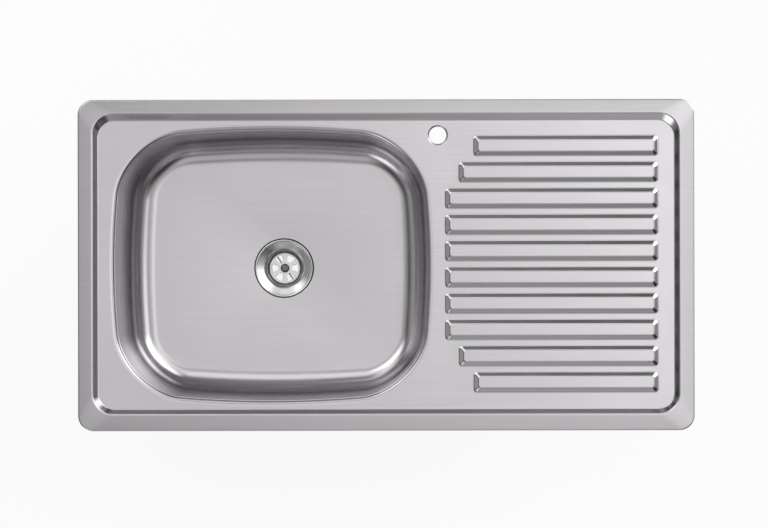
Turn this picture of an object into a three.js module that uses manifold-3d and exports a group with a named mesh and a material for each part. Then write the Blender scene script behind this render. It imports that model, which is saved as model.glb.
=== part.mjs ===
// An inset kitchen sink of pressed stainless steel: a bowl at the left, a ribbed drainer at the right.
// Millimetres, +Z up, X towards the drainer, Y towards the tap side.
// The origin is the centre of the worktop cut-out, on the worktop's top surface.
import * as THREE from 'three';
import { mergeVertices } from 'three/addons/utils/BufferGeometryUtils.js';
import Module from 'manifold-3d';

const wasm = await Module();
wasm.setup();

// Driving dimensions
const sheet = 0.8; // thickness of both pressings
const gap = 0.3; // left where one piece meets another
const sinkLength = 800;
const sinkDepth = 430;
const outerRadius = 20;
const crest = { x0: -380.5, x1: 380.5, y0: -193.2, y1: 196.8, radius: 27 }; // highest line of the rim
const foot = { x0: -374.8, x1: 374.4, y0: -186.8, y1: 188.2, radius: 22 }; // foot of the step inside it
const crestHeight = 4.2;
const rimHeight = 3.2; // top of the rim where its outer edge turns down
const edgeClearance = 0.3; // between the turned edge and the worktop
const edgeRoll = 2.2;
const deckHeight = -4.5;
const drainerFall = 2.5; // the drainer's far end lies this much higher
const fallStart = 82;
const tapHole = { x: 67.4, y: 168.6, radius: 13 };
const bowl = { x: -149.5, y: 0, length: 416, width: 361, radius: 84, depth: 145.5 };
const bowlBow = { long: 1540, short: 1145 }; // the bowl's sides are curved outwards, with these radii
const bowlDraft = THREE.MathUtils.degToRad(2.5);
const bowlLean = 3.5; // the floor lies this much nearer to the drainer than the mouth does
const bowlFillet = 32;
const lipRadius = 4;
const lipDrop = 5.2;
const waste = { x: -139, y: -4 };
const floorFall = 3;
const recess = { edge: 42.2, seat: 41.2, drop: 1.8, hole: 28, slope: 0.369 };
const rib = {
  count: 10,
  pitch: 34.12,
  middle: 1.4, // Y of the middle of the drainer
  width: 27.2,
  slope: 6.5,
  height: 4,
  end: 353.3,
  footRadius: 4,
  topRadius: 2.5,
  hollow: 1, // the underside is the same shape, this much lower
};
const ribStarts = [113.9, 94.7, 77]; // first, second and all further ribs, counted from either side
const pad = { length: 84, width: 120, thickness: 2.5, x: -248, fall: 2 };
const cutOut = { length: 780, depth: 410 };
const seal = { long: 756, short: 388, width: 5.5, height: 2.1, clearance: 1.5 };
const clipPlace = 5.2; // from the cut-out's wall in to the bracket's plate
const longStrip = { half: 330, windows: 5, pitch: 140 };
const shortStrip = { half: 130, windows: 3, pitch: 80 };
const strip = { near: 2, far: 3.2, back: -1.9, foot: -17, top: 2.6, thickness: 1.2 };
const stripWindow = { half: 6, low: -12, high: -6 };
const bracket = { half: 12, thickness: 1.5, foot: -52, top: -5, ear: -16, earHeight: -26 };
const hook = { half: 4, low: -11.7, thickness: 1.5, tipDepth: 3.6, reach: 4.6, top: -3.5 };
const fork = { half: 4, top: -30 };
const collar = { radius: 4.5, bore: 2.8, low: -30 };
const screwAxis = -9.8; // the clamp screw, measured outwards from the bracket's plate
const claw = { half: 8, neck: 3.4, back: -16, plate: -0.6, near: 2.2, edge: 11.4, reach: 13.2 };
const clawHeight = -50; // underside of a claw at its lowest
const clawThickness = 2;
const toothHeight = 8;
const notchPlaces = [-4, 0, 4];
const clampScrew = { radius: 2.5, head: 4.4, headHeight: 3.6, chamfer: 1.2, top: -22, slot: 1.2 };
const gridHeight = -184;
const grid = { flat: 20.4, openings: 6, inner: 8.6, outer: 18.8, halfInner: 0.34, halfOuter: 0.36 };
const gasket = { inner: 30, outer: 39.5, lower: -162.5 };
const outlet = { height: -232, radius: 23.9, bore: 20, thread: -201.5 }; // the thread itself is left plain
const crossbar = { half: 21.5, thickness: 2.6, low: -206, high: -192, angle: 125 };
const boss = { radius: 7.5, bore: 4.9, low: -206, high: -188 };
const washer = { radius: 7, bore: 3.4, thickness: 0.8 };
const centreScrew = { head: 6, headHeight: 3.5, radius: 3, foot: -207, slot: 1.6 };

// Materials
function steel(color, roughness) {
  return new THREE.MeshStandardMaterial({ color, roughness, metalness: 1 });
}
const satinSteel = steel(0xc4c4c2, 0.35);
const polishedSteel = steel(0xd6d6d4, 0.15);
const zincSteel = steel(0xb9bcc0, 0.4);
const brass = steel(0xc8a45a, 0.35);
const foam = new THREE.MeshStandardMaterial({ color: 0x2c2c2c, roughness: 0.95, metalness: 0 });
const rubber = new THREE.MeshStandardMaterial({ color: 0x1d1d1d, roughness: 0.8, metalness: 0 });
const whitePlastic = new THREE.MeshStandardMaterial({ color: 0xeceae4, roughness: 0.5, metalness: 0 });

const sink = new THREE.Group();

function addMesh(name, geometry, material, parent = sink) {
  const mesh = new THREE.Mesh(geometry, material);
  mesh.name = name;
  parent.add(mesh);
  return mesh;
}

// Solids for joining and cutting
function toSolid(geometry) {
  const plain = geometry.clone();
  plain.deleteAttribute('normal');
  plain.deleteAttribute('uv');
  const merged = mergeVertices(plain, 1e-5);
  const numbers = new Float32Array(merged.attributes.position.array);
  const corners = new Uint32Array(merged.index.array);
  return new wasm.Manifold(new wasm.Mesh({ numProp: 3, vertProperties: numbers, triVerts: corners }));
}

function toGeometry(solid) {
  const mesh = solid.getMesh();
  const geometry = new THREE.BufferGeometry();
  geometry.setAttribute('position', new THREE.BufferAttribute(mesh.vertProperties, 3));
  geometry.setIndex(new THREE.BufferAttribute(mesh.triVerts, 1));
  geometry.computeVertexNormals();
  return geometry;
}

function block(x0, x1, y0, y1, z0, z1) {
  const geometry = new THREE.BoxGeometry(x1 - x0, y1 - y0, z1 - z0);
  return geometry.translate((x0 + x1) / 2, (y0 + y1) / 2, (z0 + z1) / 2);
}

function cylinder(x, y, radius, z0, z1, sides = 16) {
  const geometry = new THREE.CylinderGeometry(radius, radius, z1 - z0, sides);
  return geometry.rotateX(Math.PI / 2).translate(x, y, (z0 + z1) / 2);
}

// A full turn of a profile of [radius, height] points about the vertical axis
function turned(profile, sides) {
  const points = profile.map(([radius, height]) => new THREE.Vector2(radius, height));
  return new THREE.LatheGeometry(points, sides).rotateX(Math.PI / 2);
}

function closed(profile) {
  return [...profile, profile[0]];
}

// Outlines
function inset(box, distance, radius = box.radius - distance) {
  const { x0, x1, y0, y1 } = box;
  return { x0: x0 + distance, x1: x1 - distance, y0: y0 + distance, y1: y1 - distance, radius };
}

// Points of a rounded rectangle, anticlockwise from the right side's rear end.
// sides holds the extra points on the rear, left, front and right sides.
function outline(box, perCorner, sides) {
  const { x0, x1, y0, y1, radius } = box;
  const centres = [
    [x1 - radius, y1 - radius],
    [x0 + radius, y1 - radius],
    [x0 + radius, y0 + radius],
    [x1 - radius, y0 + radius],
  ];
  const points = [];
  centres.forEach(([x, y], corner) => {
    for (let i = 0; i <= perCorner; i += 1) {
      const angle = (Math.PI / 2) * (corner + i / perCorner);
      points.push([x + radius * Math.cos(angle), y + radius * Math.sin(angle)]);
    }
    points.push(...sides[corner](box));
  });
  return points;
}

// A closed solid through loops of equally many points: outer to inner over the top, back underneath
function swept(loops) {
  const count = loops[0].length;
  const positions = loops.flat(2);
  const indices = [];
  loops.forEach((_, i) => {
    const next = (i + 1) % loops.length;
    for (let j = 0; j < count; j += 1) {
      const side = (j + 1) % count;
      const a = i * count + j;
      const b = i * count + side;
      const c = next * count + side;
      const d = next * count + j;
      indices.push(a, b, c, a, c, d);
    }
  });
  const geometry = new THREE.BufferGeometry();
  geometry.setAttribute('position', new THREE.Float32BufferAttribute(positions, 3));
  geometry.setIndex(indices);
  return geometry;
}

function deckLevel(x) {
  const run = (x - fallStart) / (foot.x1 - fallStart);
  return deckHeight + drainerFall * Math.max(0, run);
}

// Deck pressing
const none = () => [];
const deckSides = [
  (box) => [[fallStart, box.y1]],
  none,
  (box) => [[fallStart, box.y0]],
  none,
];
const cornerSteps = 7;
const sinkOutline = {
  x0: -sinkLength / 2,
  x1: sinkLength / 2,
  y0: -sinkDepth / 2,
  y1: sinkDepth / 2,
  radius: outerRadius,
};

// A loop whose height is fixed, or measured from the deck's own level
function deckLoop(box, height, onDeck = false) {
  const level = (x) => height + (onDeck ? deckLevel(x) : 0);
  return outline(box, cornerSteps, deckSides).map(([x, y]) => [x, y, level(x)]);
}

function rolledEdge(radius, centreInset, steps) {
  const loops = [];
  for (let i = 0; i <= steps; i += 1) {
    const angle = ((Math.PI / 2) * i) / steps;
    const box = inset(sinkOutline, centreInset - radius * Math.cos(angle));
    loops.push(deckLoop(box, rimHeight - edgeRoll + radius * Math.sin(angle)));
  }
  return loops;
}

// The step's profile: where its rounds begin and end, measured from the crest line and from the foot line
const stepTop = { outside: 1.5, inside: 1, down: 0.8 };
const stepFoot = { outside: 1, up: 0.8, inside: 1.2, land: 4 };
const slopedSheet = { across: 0.7, down: 0.37 }; // the sheet's thickness, square to the step's slope
const flatSheet = 0.3; // how far the underside's rounds begin from the top's

function rimAndStep() {
  const over = [
    deckLoop(sinkOutline, edgeClearance),
    ...rolledEdge(edgeRoll, edgeRoll, 3),
    deckLoop(inset(crest, -stepTop.outside), crestHeight),
    deckLoop(inset(crest, stepTop.inside), crestHeight - stepTop.down),
    deckLoop(inset(foot, -stepFoot.outside), stepFoot.up, true),
    deckLoop(inset(foot, stepFoot.inside), 0, true),
    deckLoop(inset(foot, stepFoot.land), 0, true),
  ];
  const { across, down } = slopedSheet;
  const under = [
    deckLoop(inset(foot, stepFoot.land), -sheet, true),
    deckLoop(inset(foot, stepFoot.inside - flatSheet), -sheet, true),
    deckLoop(inset(foot, -stepFoot.outside - across), stepFoot.up - down, true),
    deckLoop(inset(crest, stepTop.inside - across), crestHeight - stepTop.down - down),
    deckLoop(inset(crest, -stepTop.outside - flatSheet), crestHeight - sheet),
    ...rolledEdge(edgeRoll - sheet, edgeRoll, 2).reverse(),
    deckLoop(inset(sinkOutline, sheet), edgeClearance),
  ];
  return toSolid(swept([...over, ...under]));
}

const opening = {
  x0: bowl.x - bowl.length / 2,
  x1: bowl.x + bowl.length / 2,
  y0: bowl.y - bowl.width / 2,
  y1: bowl.y + bowl.width / 2,
  radius: bowl.radius,
};
const bowlCornerSteps = 7;
const sidePoints = [1, 2, 3]; // they divide each straight side evenly

function pointsOn(x0, y0, x1, y1) {
  const share = (i) => i / (sidePoints.length + 1);
  return sidePoints.map((i) => [x0 + (x1 - x0) * share(i), y0 + (y1 - y0) * share(i)]);
}
const bowlSides = [
  ({ x0, x1, y1, radius }) => pointsOn(x1 - radius, y1, x0 + radius, y1),
  ({ x0, y0, y1, radius }) => pointsOn(x0, y1 - radius, x0, y0 + radius),
  ({ x0, x1, y0, radius }) => pointsOn(x0 + radius, y0, x1 - radius, y0),
  ({ x1, y0, y1, radius }) => pointsOn(x1, y0 + radius, x1, y1 - radius),
];

// Draws a point in towards the bowl's middle lines, more so the further it lies from the middle of a side
function bowed([x, y]) {
  const across = x - bowl.x;
  const along = y - bowl.y;
  const drawnX = along ** 2 / (bowlBow.short * bowl.length);
  const drawnY = across ** 2 / (bowlBow.long * bowl.width);
  return [bowl.x + across * (1 - drawnX), bowl.y + along * (1 - drawnY)];
}

function bowlOutline(distance) {
  return outline(inset(opening, distance), bowlCornerSteps, bowlSides).map(bowed);
}

function bowlLoop(distance, height) {
  const weld = lipDrop + gap;
  const share = (deckHeight - height - weld) / (bowl.depth - weld);
  const leant = bowlLean * THREE.MathUtils.clamp(share, 0, 1);
  return bowlOutline(distance).map(([x, y]) => [x + leant, y, height]);
}

const lipLand = 4; // flat deck outside the lip's round

// The deck turns down into the bowl and ends where the bowl is welded on
function openingLip() {
  const steps = 4;
  const last = Math.PI / 2 - bowlDraft;
  const arc = (radius) => {
    const loops = [];
    for (let i = 0; i <= steps; i += 1) {
      const angle = (last * i) / steps;
      const height = deckHeight - lipRadius + radius * Math.cos(angle);
      loops.push(bowlLoop(radius * Math.sin(angle), height));
    }
    return loops;
  };
  const over = [
    bowlLoop(-lipLand, deckHeight),
    ...arc(lipRadius),
    bowlLoop(wallInset(lipDrop), deckHeight - lipDrop),
  ];
  const under = [
    bowlLoop(wallInset(lipDrop) - sheet, deckHeight - lipDrop),
    ...arc(lipRadius - sheet).reverse(),
    bowlLoop(-lipLand, deckHeight - sheet),
  ];
  return toSolid(swept([...over, ...under]));
}

// How far the bowl's wall has come in at a depth below the deck
function wallInset(depth) {
  const start = lipRadius * Math.cos(bowlDraft);
  const startDepth = lipRadius * (1 - Math.sin(bowlDraft));
  return start + (depth - startDepth) * Math.tan(bowlDraft);
}

function pathFrom(points, Kind = THREE.Path) {
  return new Kind(points.map(([x, y]) => new THREE.Vector2(x, y)));
}

function deckPlate(points, holes) {
  const shape = pathFrom(points, THREE.Shape);
  shape.holes.push(...holes);
  const geometry = new THREE.ExtrudeGeometry(shape, { depth: sheet, bevelEnabled: false, curveSegments: 6 });
  const position = geometry.attributes.position;
  for (let i = 0; i < position.count; i += 1) {
    position.setZ(i, position.getZ(i) - sheet + deckLevel(position.getX(i)));
  }
  return toSolid(geometry);
}

function flatDeck() {
  const edge = outline(inset(foot, (stepFoot.inside + stepFoot.land) / 2), cornerSteps, deckSides);
  const tap = new THREE.Path().absarc(tapHole.x, tapHole.y, tapHole.radius, 0, Math.PI * 2);
  const mouth = pathFrom(bowlOutline(-lipLand / 2));
  const left = deckPlate(edge.filter(([x]) => x <= fallStart), [mouth, tap]);
  const right = deckPlate(edge.filter(([x]) => x >= fallStart), []);
  return left.add(right);
}

const ribRoot = 0.5; // how deep a rib's solid goes into the deck before they are joined

// One raised rib: sloping sides and ends, flat on top
function ribSolid(start, y, drop) {
  const base = {
    x0: start,
    x1: rib.end,
    y0: y - rib.width / 2,
    y1: y + rib.width / 2,
    radius: rib.footRadius,
  };
  const loop = (distance, height, radius) => {
    const points = outline(inset(base, distance, radius), 2, [none, none, none, none]);
    return points.map(([px, py]) => [px, py, deckLevel(px) + height - drop]);
  };
  const top = loop(rib.slope, rib.height, rib.topRadius);
  const bottom = loop(0, 0, rib.footRadius);
  const belowBottom = loop(0, -ribRoot, rib.footRadius);
  const middle = top.map(() => [(start + rib.end) / 2, y]);
  const cap = (height) => middle.map(([px, py]) => [px, py, deckLevel(px) + height - drop]);
  return toSolid(swept([cap(-ribRoot), belowBottom, bottom, top, cap(rib.height)]));
}

function deckPressing() {
  let deck = rimAndStep().add(flatDeck()).add(openingLip());
  for (let i = 0; i < rib.count; i += 1) {
    const fromSide = Math.min(i, rib.count - 1 - i, ribStarts.length - 1);
    const y = rib.middle + rib.pitch * ((rib.count - 1) / 2 - i);
    deck = deck.add(ribSolid(ribStarts[fromSide], y, 0));
    deck = deck.subtract(ribSolid(ribStarts[fromSide], y, rib.hollow));
  }
  return toGeometry(deck);
}

// Bowl pressing
const floorHeight = deckHeight - bowl.depth;

// A circle of as many points as the bowl's outline, turned to face them
function roundLoop(radius, height) {
  const perSide = bowlCornerSteps + 1 + sidePoints.length;
  const count = 4 * perSide;
  const firstStep = (sidePoints.length + 1) / 2;
  const loop = [];
  for (let i = 0; i < count; i += 1) {
    const angle = ((i + firstStep) * Math.PI * 2) / count;
    loop.push([waste.x + radius * Math.cos(angle), waste.y + radius * Math.sin(angle), height]);
  }
  return loop;
}

const recessHeight = floorHeight - floorFall; // the floor round the waste

function seatHeight(radius) {
  return recessHeight - recess.drop - (recess.seat - radius) * recess.slope;
}

// The bowl's surface from the weld to the waste hole; out is 0 inside the bowl and the sheet outside it
function bowlSurface(out) {
  const top = lipDrop + gap;
  const centreDepth = bowl.depth - bowlFillet;
  const tangentDepth = centreDepth + bowlFillet * Math.sin(bowlDraft);
  const centreInset = wallInset(tangentDepth) + bowlFillet * Math.cos(bowlDraft);
  const loops = [bowlLoop(wallInset(top) - out, deckHeight - top)];
  const steps = 6;
  for (let i = 0; i <= steps; i += 1) {
    const angle = bowlDraft + ((Math.PI / 2 - bowlDraft) * i) / steps;
    const radius = bowlFillet + out;
    const distance = centreInset - radius * Math.cos(angle);
    loops.push(bowlLoop(distance, deckHeight - centreDepth - radius * Math.sin(angle)));
  }
  loops.push(roundLoop(recess.edge + out / 2, recessHeight - out));
  loops.push(roundLoop(recess.seat + out / 2, seatHeight(recess.seat) - out));
  loops.push(roundLoop(recess.hole, seatHeight(recess.hole) - out));
  return loops;
}

function bowlPressing() {
  return swept([...bowlSurface(0), ...bowlSurface(sheet).reverse()]);
}

addMesh('deck_pressing', deckPressing(), satinSteel);
addMesh('bowl_pressing', bowlPressing(), satinSteel);

// Sound-deadening pad under the bowl's floor, which falls towards the waste
const padBlock = block(-pad.length / 2, pad.length / 2, -pad.width / 2, pad.width / 2, -pad.thickness, 0);
const soundPad = addMesh('sound_pad', padBlock, rubber);
soundPad.position.set(pad.x, waste.y, recessHeight - sheet - 0.1);
soundPad.rotation.y = Math.atan(pad.fall / pad.length);

// Foam strips under the rim, outside the cut-out
const sealBack = cutOut.depth / 2 + seal.clearance;
const sealSide = cutOut.length / 2 + seal.clearance;
const longSeal = block(-seal.long / 2, seal.long / 2, -seal.width, 0, 0, seal.height);
const shortSeal = block(-seal.width, 0, -seal.short / 2, seal.short / 2, 0, seal.height);
addMesh('seal_strip_front', longSeal, foam).position.y = -sealBack;
addMesh('seal_strip_rear', longSeal, foam).position.y = sealBack + seal.width;
addMesh('seal_strip_left', shortSeal, foam).position.x = -sealSide;
addMesh('seal_strip_right', shortSeal, foam).position.x = sealSide + seal.width;

// Each side has its own group: in it, x runs along the side and y outwards from the bracket plates
function sideGroup(turn, distance) {
  const group = new THREE.Group();
  group.rotation.z = THREE.MathUtils.degToRad(turn);
  group.position.set(distance * -Math.sin(group.rotation.z), distance * Math.cos(group.rotation.z), 0);
  sink.add(group);
  return group;
}
const sides = {
  front: { group: sideGroup(180, cutOut.depth / 2 - clipPlace), ...longStrip },
  rear: { group: sideGroup(0, cutOut.depth / 2 - clipPlace), ...longStrip },
  left: { group: sideGroup(90, cutOut.length / 2 - clipPlace), ...shortStrip },
  right: { group: sideGroup(-90, cutOut.length / 2 - clipPlace), ...shortStrip },
};

function joined(pieces) {
  return pieces.map(toSolid).reduce((whole, piece) => whole.add(piece));
}

// Angle strip welded under the rim, with windows that the clip brackets hook into
function fixingStrip({ half, windows, pitch }) {
  const { near, far, back, top, thickness } = strip;
  let angle = joined([
    block(-half, half, near, far, strip.foot, top),
    block(-half, half, back, far, top - thickness, top),
  ]);
  for (let i = 0; i < windows; i += 1) {
    const x = (i - (windows - 1) / 2) * pitch;
    const { low, high } = stripWindow;
    const window = block(x - stripWindow.half, x + stripWindow.half, near - 1, far + 1, low, high);
    angle = angle.subtract(toSolid(window));
  }
  return toGeometry(angle);
}

// Forked bracket: a hook through the strip's window, and an ear with a tapped collar for the screw
function clipBracket() {
  const { half, thickness, foot: low, top } = bracket;
  const armTop = hook.low + hook.thickness;
  const shape = joined([
    block(-half, half, 0, thickness, low, top),
    block(-hook.half, hook.half, thickness - 0.5, hook.reach, hook.low, armTop),
    block(-hook.half, hook.half, hook.tipDepth, hook.reach, hook.low, hook.top),
    block(-claw.half, claw.half, bracket.ear, 0.5, bracket.earHeight, bracket.earHeight + thickness),
    cylinder(0, screwAxis, collar.radius, collar.low, bracket.earHeight + 1),
  ]);
  const slot = block(-fork.half, fork.half, -1, thickness * 2, low - 1, fork.top);
  const tapped = cylinder(0, screwAxis, collar.bore, collar.low - 1, bracket.earHeight + 2);
  return toGeometry(shape.subtract(toSolid(slot)).subtract(toSolid(tapped)));
}

// Claw: a plate on the screw, a neck through the bracket's fork and a toothed edge under the worktop
function clipClaw() {
  const { half, neck, back, plate, near, edge, reach } = claw;
  const top = clawHeight + clawThickness;
  const tip = clawHeight + toothHeight;
  let shape = joined([
    block(-half, half, back, plate, clawHeight, top),
    block(-neck, neck, -1, 3, clawHeight, top),
    block(-half, half, near, reach, clawHeight, top),
    block(-half, half, edge, reach, clawHeight, tip),
  ]);
  for (const x of notchPlaces) {
    const notch = new THREE.CylinderGeometry(1.6, 1.6, 4, 4).translate(x, (edge + reach) / 2, tip);
    shape = shape.subtract(toSolid(notch));
  }
  const hole = cylinder(0, screwAxis, collar.bore, clawHeight - 1, top + 1);
  return toGeometry(shape.subtract(toSolid(hole)));
}

// Slotted screw, whose head lifts the claw
function clipScrew() {
  const { radius, head, headHeight, chamfer, top, slot } = clampScrew;
  const under = clawHeight - gap;
  const profile = [
    [0, under - headHeight],
    [head - chamfer, under - headHeight],
    [head, under - headHeight + chamfer],
    [head, under],
    [radius, under],
    [radius, top - 1],
    [radius - 0.6, top],
    [0, top],
  ];
  const screw = toSolid(turned(profile, 12).translate(0, screwAxis, 0));
  const cut = block(-head - 1, head + 1, screwAxis - slot / 2, screwAxis + slot / 2, under - 4, under - 2);
  return toGeometry(screw.subtract(toSolid(cut)));
}

for (const [side, shape] of Object.entries(sides)) {
  addMesh(`fixing_strip_${side}`, fixingStrip(shape), zincSteel, shape.group);
}

const bracketShape = clipBracket();
const clawShape = clipClaw();
const screwShape = clipScrew();
const clips = [
  ['front', 2],
  ['front', 0],
  ['front', -2],
  ['right', 0],
  ['rear', 2],
  ['rear', 0],
  ['rear', -2],
  ['left', 0],
];
clips.forEach(([side, place], i) => {
  const holder = new THREE.Group();
  holder.position.x = place * sides[side].pitch;
  sides[side].group.add(holder);
  addMesh(`clip_bracket_${i + 1}`, bracketShape, zincSteel, holder);
  addMesh(`clip_claw_${i + 1}`, clawShape, zincSteel, holder);
  addMesh(`clip_screw_${i + 1}`, screwShape, zincSteel, holder);
});

// Waste fitting, in a group on its own axis
const fitting = new THREE.Group();
fitting.position.set(waste.x, waste.y, 0);
sink.add(fitting);
const wasteSides = 32;

// An opening in the grid, wider away from the screw
function petal(angle) {
  const { inner, outer, halfInner, halfOuter } = grid;
  const shape = new THREE.Shape();
  shape.absarc(0, 0, outer, angle - halfOuter, angle + halfOuter, false);
  shape.absarc(0, 0, inner, angle + halfInner, angle - halfInner, true);
  const options = { depth: 6, bevelEnabled: false, curveSegments: 4 };
  return new THREE.ExtrudeGeometry(shape, options).translate(0, 0, gridHeight - 4);
}

// Dished flange with a deep well and a grid at its foot
function wasteFlange() {
  const dish = (radius, lift) => [radius, seatHeight(radius) + lift];
  const profile = [
    dish(40.3, 1.5),
    dish(40.3, 2.1),
    dish(39.6, 2.3),
    dish(25.8, 2.3),
    [24.2, -160],
    [22.9, -180.6],
    [22.2, -182.8],
    [grid.flat, gridHeight],
    [washer.bore, gridHeight],
    [washer.bore, gridHeight - sheet],
    [grid.flat + 0.2, gridHeight - sheet],
    [22.9, -183.3],
    [23.7, -180.8],
    [25, -160.2],
    dish(26.2, 1.5),
  ];
  let flange = toSolid(turned(closed(profile), wasteSides));
  for (let i = 0; i < grid.openings; i += 1) {
    flange = flange.subtract(toSolid(petal((Math.PI * 2 * i) / grid.openings)));
  }
  return toGeometry(flange);
}

function ring(profile, sidesRound = wasteSides) {
  return toGeometry(toSolid(turned(closed(profile), sidesRound)));
}

// A round of square section
function collarRing(inner, outer, low, high, sidesRound) {
  return ring([[outer, low], [outer, high], [inner, high], [inner, low]], sidesRound);
}

function topGasket() {
  const { inner, outer } = gasket;
  const seat = (radius, lift) => [radius, seatHeight(radius) + lift];
  return ring([seat(outer, gap), seat(outer, 1.2), seat(inner, 1.2), seat(inner, gap)]);
}

function lowerGasket() {
  const under = (radius) => [radius, seatHeight(radius) - sheet - gap];
  return ring([[42, gasket.lower], under(42), under(29), [29, gasket.lower]]);
}

// Body with a tail for a 1 1/2 inch thread; a bar across it carries the boss for the screw
function wasteBody() {
  const top = gasket.lower - gap;
  const profile = [
    [43, top - 3.5],
    [43, top],
    [29.5, top],
    [29.5, -189],
    [outlet.bore, -196],
    [outlet.bore, outlet.height],
    [outlet.radius - 1, outlet.height],
    [outlet.radius, outlet.height + 2],
    [outlet.radius, outlet.thread],
    [24.6, -200],
    [33, -192],
    [33, top - 6],
    [36, top - 3.5],
  ];
  const shell = toSolid(turned(closed(profile), wasteSides));
  const { half, thickness, low, high, angle } = crossbar;
  const across = block(-half, half, -thickness / 2, thickness / 2, low, high);
  const bar = toSolid(across.rotateZ(THREE.MathUtils.degToRad(angle)));
  const post = toSolid(cylinder(0, 0, boss.radius, boss.low, boss.high, 20));
  const bore = toSolid(cylinder(0, 0, boss.bore, boss.low - 1, boss.high + 1, 16));
  return toGeometry(shell.add(bar).add(post).subtract(bore));
}

function insert() {
  return collarRing(centreScrew.radius + gap, boss.bore - gap, boss.low + 1, boss.high - 0.5, 16);
}

const washerHeight = gridHeight + gap;
const washerTop = washerHeight + washer.thickness;

function wasteScrew() {
  const { head, headHeight, radius, foot: low, slot } = centreScrew;
  const seat = washerTop + gap;
  const profile = [
    [0, low],
    [radius - 0.6, low],
    [radius, low + 1],
    [radius, seat],
    [head, seat],
    [head, seat + 1.6],
    [4.6, seat + 2.9],
    [2.6, seat + 3.4],
    [0, seat + headHeight],
  ];
  const screw = toSolid(turned(profile, 20));
  const cut = block(-head - 1, head + 1, -slot / 2, slot / 2, seat + 1.5, seat + headHeight + 0.5);
  return toGeometry(screw.subtract(toSolid(cut)));
}

const washerRing = collarRing(washer.bore, washer.radius, washerHeight, washerTop, 20);
addMesh('waste_flange', wasteFlange(), polishedSteel, fitting);
addMesh('waste_top_gasket', topGasket(), rubber, fitting);
addMesh('waste_lower_gasket', lowerGasket(), rubber, fitting);
addMesh('waste_body', wasteBody(), whitePlastic, fitting);
addMesh('waste_insert', insert(), brass, fitting);
addMesh('waste_washer', washerRing, polishedSteel, fitting);
addMesh('waste_screw', wasteScrew(), polishedSteel, fitting);

export default sink;
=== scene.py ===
import math
import bmesh
import bpy
from mathutils import Matrix, Vector


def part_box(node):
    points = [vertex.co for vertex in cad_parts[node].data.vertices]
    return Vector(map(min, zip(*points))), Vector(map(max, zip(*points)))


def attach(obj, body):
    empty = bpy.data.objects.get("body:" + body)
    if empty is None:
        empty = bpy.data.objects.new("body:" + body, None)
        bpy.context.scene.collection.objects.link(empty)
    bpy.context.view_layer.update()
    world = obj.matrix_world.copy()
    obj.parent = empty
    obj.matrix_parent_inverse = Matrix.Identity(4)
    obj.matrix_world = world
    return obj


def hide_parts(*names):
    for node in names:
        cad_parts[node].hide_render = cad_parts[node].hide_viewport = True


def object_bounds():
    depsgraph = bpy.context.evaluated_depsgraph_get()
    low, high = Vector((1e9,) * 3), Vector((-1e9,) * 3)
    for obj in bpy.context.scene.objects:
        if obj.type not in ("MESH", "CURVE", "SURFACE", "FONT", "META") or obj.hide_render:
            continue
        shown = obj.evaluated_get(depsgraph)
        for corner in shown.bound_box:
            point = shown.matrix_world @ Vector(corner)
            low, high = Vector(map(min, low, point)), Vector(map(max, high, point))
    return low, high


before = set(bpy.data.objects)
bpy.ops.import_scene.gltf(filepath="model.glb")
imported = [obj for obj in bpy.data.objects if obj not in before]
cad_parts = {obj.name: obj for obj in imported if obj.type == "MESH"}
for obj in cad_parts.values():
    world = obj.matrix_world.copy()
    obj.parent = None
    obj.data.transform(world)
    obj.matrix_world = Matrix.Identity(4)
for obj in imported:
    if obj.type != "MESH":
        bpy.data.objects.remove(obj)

cadBounds = [list(corner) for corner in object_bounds()]
scene = bpy.context.scene
scene.view_settings.view_transform = "Standard"

# Pieces are drawn in millimetres in the sink's own frame and scaled to metres when they are added
mm = 0.001
up = Vector((0, 0, 1))


def boxOf(node):
    low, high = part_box(node)
    return [v / mm for v in low], [v / mm for v in high]


def middleOf(node):
    low, high = boxOf(node)
    return [(a + b) / 2 for a, b in zip(low, high)]


# Low and high x, then y, then z
def rangesOf(node):
    return [v for pair in zip(*boxOf(node)) for v in pair]


def heightsOf(node):
    return rangesOf(node)[4:]


# Camera

shot = {
    "lens": 107.64,  # millimetres, on a sensor 36 wide
    "height": 2.9792,  # the photograph looks straight down from here
    "offset": (-0.00272, 0.00143),
    "turn": -0.0019,
}
camera = bpy.data.objects.new("camera", bpy.data.cameras.new("camera"))
camera.data.lens = shot["lens"]
camera.data.sensor_width = 36
camera.location = (*shot["offset"], shot["height"])
camera.rotation_euler = (0, 0, shot["turn"])
scene.collection.objects.link(camera)
scene.camera = camera


# Node helpers; a Mix node's inputs go by number, 2 and 3 for numbers, 6 and 7 for colours

def setInputs(tree, node, inputs):
    for name, value in inputs.items():
        socket = node.inputs[name]
        if isinstance(value, bpy.types.NodeSocket):
            tree.links.new(value, socket)
        else:
            socket.default_value = value


def addNode(tree, kind, inputs=None, **settings):
    made = tree.nodes.new("ShaderNode" + kind)
    for name, value in settings.items():
        setattr(made, name, value)
    setInputs(tree, made, inputs or {})
    return made


def mathNode(tree, operation, *values, clamp=False):
    return addNode(tree, "Math", dict(enumerate(values)), operation=operation, use_clamp=clamp).outputs[0]


def objectPlace(tree):
    return addNode(tree, "TexCoord").outputs["Object"]


def noiseAt(tree, place, scale, detail, **more):
    inputs = {"Vector": place, "Scale": scale, "Detail": detail, **more}
    return addNode(tree, "TexNoise", inputs).outputs["Fac"]


def vectorNode(tree, operation, *values):
    return addNode(tree, "VectorMath", dict(enumerate(values)), operation=operation).outputs


def ranged(tree, value, fromMin, fromMax, toMin, toMax, smooth=False):
    kind = "SMOOTHSTEP" if smooth else "LINEAR"
    spans = {"Value": value, "From Min": fromMin, "From Max": fromMax, "To Min": toMin, "To Max": toMax}
    return addNode(tree, "MapRange", spans, interpolation_type=kind).outputs["Result"]


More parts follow.
